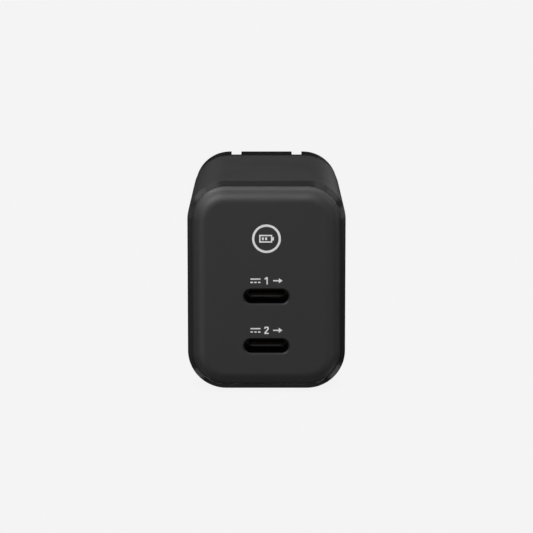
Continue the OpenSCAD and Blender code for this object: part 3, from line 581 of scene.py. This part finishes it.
# added solids sink into the shell by rooted; cutters run past it by cutPast and drillPast
rear = {"lipInset": 1.9, "lipThickness": 1.2, "plate": 2.0, "backRound": 0.8, "roundSteps": 8,
        "edge": 0.1, "slotWidth": 2.1, "slotDepth": 6.7, "slotWall": 1.0, "window": 3.6,
        "earGap": 0.25, "earThickness": 2.0, "earHeight": 5.2, "trunnion": 1.2, "runGap": 0.05,
        "bossRadius": 2.0, "screwRadius": 0.85, "rooted": 0.2, "cutPast": 2.0, "drillPast": 0.5}
rotor = {"radius": (rotorHigh.z - rotorLow.z) / 2, "trunnionLength": 1.6, "slitReach": 5.0, "edge": 0.1,
         "steps": 96}
rotor["half"] = rotorHigh.x - rotor["trunnionLength"]


# shell with a lip inside the housing, two blade channels, two bearing ears and two screw bosses
def makeRearCover():
    cavity = rear["lipInset"] + rear["lipThickness"]
    plateY = backY - rear["plate"]
    rootY = plateY + rear["rooted"]
    pastY = backY + rear["cutPast"]
    slope = rear["edge"]
    bm = loft([(cavity, plateY), (cavity, rearLow.y), (rear["lipInset"], rearLow.y),
               (rear["lipInset"], capY), (capInset + slope, capY), (capInset, capY + slope)]
              + quarterRound(capInset, backY - rear["backRound"], rear["backRound"],
                             rear["roundSteps"], 1))
    piece = closeMesh(bm, "rear_cover_shell")
    bladeX = (bladeLow.x + bladeHigh.x) / 2
    slotHalf = rear["slotWidth"] / 2
    floorY = backY - rear["slotDepth"]
    topZ = rearHigh.z
    ear = rotor["half"] + rear["earGap"]
    screwLow, screwHigh = boxMm("carrier_screws")
    screwHead = (screwHigh.x - screwLow.x) / 2
    bossEnd = boxMm("contact_carrier")[1].y
    added = []
    removed = []
    for side in (-1, 1):
        x = side * bladeX
        wallHalf = slotHalf + rear["slotWall"]
        added.append(blockMesh((x - wallHalf, floorY - rear["slotWall"], pivotZ + rear["window"]),
                               (x + wallHalf, rootY, topZ - cavity + capInset + rear["rooted"]),
                               "channel"))
        near, far = sorted((side * ear, side * (ear + rear["earThickness"])))
        added.append(blockMesh((near, pivotY - rear["earHeight"] / 2, pivotZ - rear["earHeight"] / 2),
                               (far, rootY, pivotZ + rear["earHeight"] / 2), "ear"))
        removed.append(blockMesh((x - slotHalf, floorY, pivotZ),
                                 (x + slotHalf, pastY, topZ + rear["cutPast"]), "slot"))
        boreEnd = ear + rear["earThickness"] + rear["drillPast"]
        removed.append(rodMesh((side * rotor["half"], pivotY, pivotZ), (side * boreEnd, pivotY, pivotZ),
                               rear["trunnion"] + rear["runGap"], "bore"))
    for z in (screwLow.z + screwHead, screwHigh.z - screwHead):
        added.append(rodMesh((0, bossEnd, z), (0, rootY, z), rear["bossRadius"], "boss"))
        removed.append(rodMesh((0, bossEnd - rear["drillPast"], z), (0, plateY, z), rear["screwRadius"],
                               "pilot"))
    reach = rear["window"]
    removed.append(blockMesh((-ear, pivotY - reach, pivotZ - reach), (ear, pastY, pivotZ + reach),
                             "window"))
    carve(piece, added, "UNION")
    carve(piece, removed)
    return finish(piece, rearSatin, "charger", ["rear_cover"], sharpAngle=28)


# the shoulder, where the tail widens into the blade, lies inside the hinge's axis
blade = {"tipRadius": 1.6, "tipSteps": 10, "taperLength": 2.2, "taper": 0.42, "edge": 0.14,
         "edgeSteps": 3, "rimAngle": 60, "tailWidth": 2.4, "shoulder": 1.4, "shoulderChamfer": 1.0,
         "near": 0.01}


# barrel with a square shoulder below, slotted for the blades, on two trunnions
def makeRotor():
    half = rotor["half"]
    r = rotor["radius"]
    reach = rotor["slitReach"]
    piece = rodMesh((-half, pivotY, pivotZ), (half, pivotY, pivotZ), r, "blade_rotor_barrel",
                    rotor["steps"])
    shoulder = blockMesh((-half, pivotY, pivotZ - r), (half, pivotY + r, pivotZ), "shoulder")
    shaft = rodMesh((rotorLow.x, pivotY, pivotZ), (rotorHigh.x, pivotY, pivotZ), rear["trunnion"],
                    "shaft")
    carve(piece, [shoulder, shaft], "UNION")
    slits = [blockMesh((low.x, pivotY - reach, low.z), (high.x, pivotY + reach, high.z), "slit")
             for low, high in (boxMm("blade_left"), boxMm("blade_right"))]
    carve(piece, slits)
    return finish(piece, rotorNylon, "plug", ["blade_rotor"], bevelMm=rotor["edge"])


# flat blade with a round-cornered tip that thins on both faces, and a narrow tail inside
def makeBlade(side):
    low, high = boxMm("blade_" + side)
    bm = bmesh.new()
    tail = blade["tailWidth"] / 2
    chamfer = blade["shoulderChamfer"]
    shoulderY = pivotY - blade["shoulder"]
    outline = [(low.y, pivotZ - tail), (shoulderY, pivotZ - tail), (shoulderY, low.z + chamfer),
               (shoulderY + chamfer, low.z), (high.y, low.z), (high.y, high.z),
               (shoulderY + chamfer, high.z), (shoulderY, high.z - chamfer), (shoulderY, pivotZ + tail),
               (low.y, pivotZ + tail)]
    bm.faces.new([bm.verts.new((low.x, y, z)) for y, z in outline])
    tips = [v for v in bm.verts if v.co.y > high.y - blade["near"]]
    bmesh.ops.bevel(bm, geom=tips, offset=blade["tipRadius"], offset_type="OFFSET", affect="VERTICES",
                    segments=blade["tipSteps"], profile=0.5, material=-1)
    face = max(bm.faces, key=lambda f: f.calc_area())
    lifted = bmesh.ops.extrude_face_region(bm, geom=[face])["geom"]
    bmesh.ops.translate(bm, vec=(high.x - low.x, 0, 0),
                        verts=[v for v in lifted if isinstance(v, bmesh.types.BMVert)])
    bmesh.ops.recalc_face_normals(bm, faces=bm.faces)
    taperY = high.y - blade["taperLength"]
    bmesh.ops.bisect_plane(bm, geom=bm.verts[:] + bm.edges[:] + bm.faces[:], plane_co=(0, taperY, 0),
                           plane_no=(0, 1, 0))
    middle = (low.x + high.x) / 2
    for v in bm.verts:
        into = max(0.0, v.co.y - taperY) / blade["taperLength"]
        v.co.x -= math.copysign(into * blade["taper"], v.co.x - middle)
    rimAngle = math.radians(blade["rimAngle"])
    rim = [e for e in bm.edges if len(e.link_faces) == 2 and e.calc_face_angle() > rimAngle]
    bmesh.ops.bevel(bm, geom=rim, offset=blade["edge"], affect="EDGES", segments=blade["edgeSteps"],
                    profile=0.5, material=-1)
    return finish(closeMesh(bm, "blade_" + side + "_plated"), nickelBlade, "plug",
                  ["blade_" + side], sharpAngle=24)


makeHousing()
makeFrontFrame()
makeFrontCover()
print("front shells made")
for level, z in zip(("lower", "upper"), portLevels):
    makeReceptacle(level, z)
print("receptacles made")
makeRearCover()
makeRotor()
for side in ("left", "right"):
    makeBlade(side)
print("rear cover and plug made")

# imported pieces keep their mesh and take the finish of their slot
plain = []
for node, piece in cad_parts.items():
    for place in piece.material_slots:
        if place.material.name in slotFinish:
            place.material = slotFinish[place.material.name]
        else:
            plain.append(node)
print("packed pieces finished, left for their replacements:", sorted(set(plain)))

studio = {
    "paper": "#f4f4f4",
    "lens": 166.5,
    "distance": 473.0,
    "elevation": 8.9,
    "aimAboveMiddle": 3.59,
    "roomLight": 0.01,
    "floorHalf": 3000.0,
    "contactReach": 3.0,   # how near the floor a piece dims it
    "contactShade": 0.965,
}
# azimuth from the ports towards +X, elevation, distance, width and height in millimetres, then watts
softboxes = {
    "keyLeft": (-38, 40, 500, 240, 240, 1.09),
    "keyMiddle": (0, 40, 500, 240, 240, 0.52),
    "fillLeft": (-45, 5, 500, 240, 240, 0.21),
    "fillRight": (45, 5, 500, 240, 240, 0.14),
    "fillLow": (0, -8, 600, 300, 200, 0.105),
    "lowFrontLeft": (-42, -22, 500, 240, 160, 0.1),
    "lowFrontRight": (42, -22, 500, 240, 160, 0.08),
    "stripLeft": (-90, 65, 450, 900, 160, 0.47),
    "stripRight": (90, 65, 450, 900, 160, 0.38),
    "bankLeft": (-90, 40, 450, 330, 200, 0.34),
    "bankRight": (90, 40, 450, 330, 200, 0.26),
    "frontTop": (0, 63, 450, 300, 90, 0.11),
    "overhead": (0, 103, 450, 300, 120, 0.17),
    "backTop": (180, 60, 450, 300, 160, 0.19),
    "backTopLeft": (-135, 48, 450, 200, 200, 0.3),
    "backRight": (145, 22, 450, 200, 200, 0.15),
    "sideRight": (95, 5, 450, 200, 150, 0.12),
    "sideLeft": (-95, 5, 450, 200, 150, 0.04),
    "lowRight": (100, -45, 400, 150, 150, 0.08),
    "lowLeft": (-100, -48, 400, 110, 110, 0.035),
    "floorBounce": (0, -82, 400, 400, 260, 0.075),
    "rearFill": (180, -24, 500, 300, 180, 0.8),
}


def addObject(name, data):
    made = bpy.data.objects.new(name, data)
    bpy.context.scene.collection.objects.link(made)
    return made


def direction(azimuth, elevation):
    a, e = math.radians(azimuth), math.radians(elevation)
    return Vector((math.sin(a) * math.cos(e), -math.cos(a) * math.cos(e), math.sin(e)))


# puts a camera or lamp at a distance from a target, looking back at it
def aim(thing, target, towards, distance):
    thing.location = (target + towards * distance) * mm
    thing.rotation_mode = "QUATERNION"
    thing.rotation_quaternion = (-towards).to_track_quat("-Z", "Y")


def makeCamera():
    data = bpy.data.cameras.new("camera")
    data.lens = studio["lens"]
    data.sensor_width = 36
    data.clip_start = 0.01
    camera = addObject("camera", data)
    aim(camera, Vector((0, seatY, middleZ + studio["aimAboveMiddle"])),
        direction(0, studio["elevation"]), studio["distance"])
    bpy.context.scene.camera = camera


# pale paper for the camera, and a nearly dark room for everything else
def makeWorld():
    world = bpy.data.worlds.new("studio")
    bpy.context.scene.world = world
    world.use_nodes = True
    tree = world.node_tree
    tree.nodes.clear()
    paper = addNode(tree, "ShaderNodeBackground", {"Color": linear(studio["paper"])})
    room = addNode(tree, "ShaderNodeBackground",
                   {"Color": (1, 1, 1, 1), "Strength": studio["roomLight"]})
    seen = addNode(tree, "ShaderNodeLightPath").outputs["Is Camera Ray"]
    both = addNode(tree, "ShaderNodeMixShader", links={0: seen, 1: room.outputs[0], 2: paper.outputs[0]})
    addNode(tree, "ShaderNodeOutputWorld", links={"Surface": both.outputs[0]})


def makeFloor():
    bm = bmesh.new()
    bmesh.ops.create_grid(bm, x_segments=1, y_segments=1, size=studio["floorHalf"] * mm)
    mesh = bpy.data.meshes.new("floor")
    bm.to_mesh(mesh)
    bm.free()
    floor = addObject("floor", mesh)
    # evenly lit paper that dims slightly where the charger stands on it
    material, tree = newMaterial("backlit paper")[:2]
    shade = addNode(tree, "ShaderNodeAmbientOcclusion",
                    {"Distance": studio["contactReach"] * mm, "samples": 16})
    strength = addNode(tree, "ShaderNodeMapRange", {"To Min": studio["contactShade"], "To Max": 1.0},
                       {"Value": shade.outputs["AO"]})
    glow = addNode(tree, "ShaderNodeEmission", {"Color": linear(studio["paper"])},
                   {"Strength": strength.outputs["Result"]})
    # open from underneath, so that the underside of the charger can be looked at
    under = addNode(tree, "ShaderNodeNewGeometry").outputs["Backfacing"]
    clear = addNode(tree, "ShaderNodeBsdfTransparent")
    sheet = addNode(tree, "ShaderNodeMixShader",
                    links={0: under, 1: glow.outputs[0], 2: clear.outputs[0]})
    addNode(tree, "ShaderNodeOutputMaterial", links={"Surface": sheet.outputs[0]})
    mesh.materials.append(material)
    floor.visible_diffuse = False
    floor.visible_glossy = False
    floor.visible_shadow = False


def makeLights():
    centre = Vector((0, 0, middleZ))
    for name, (azimuth, elevation, distance, width, height, power) in softboxes.items():
        data = bpy.data.lights.new(name, "AREA")
        data.shape = "RECTANGLE"
        data.size = width * mm
        data.size_y = height * mm
        data.energy = power
        lamp = addObject(name, data)
        lamp.visible_camera = False
        aim(lamp, centre, direction(azimuth, elevation), distance)


makeCamera()
makeWorld()
makeFloor()
makeLights()
bpy.context.scene.view_settings.view_transform = "Standard"
print("studio made")
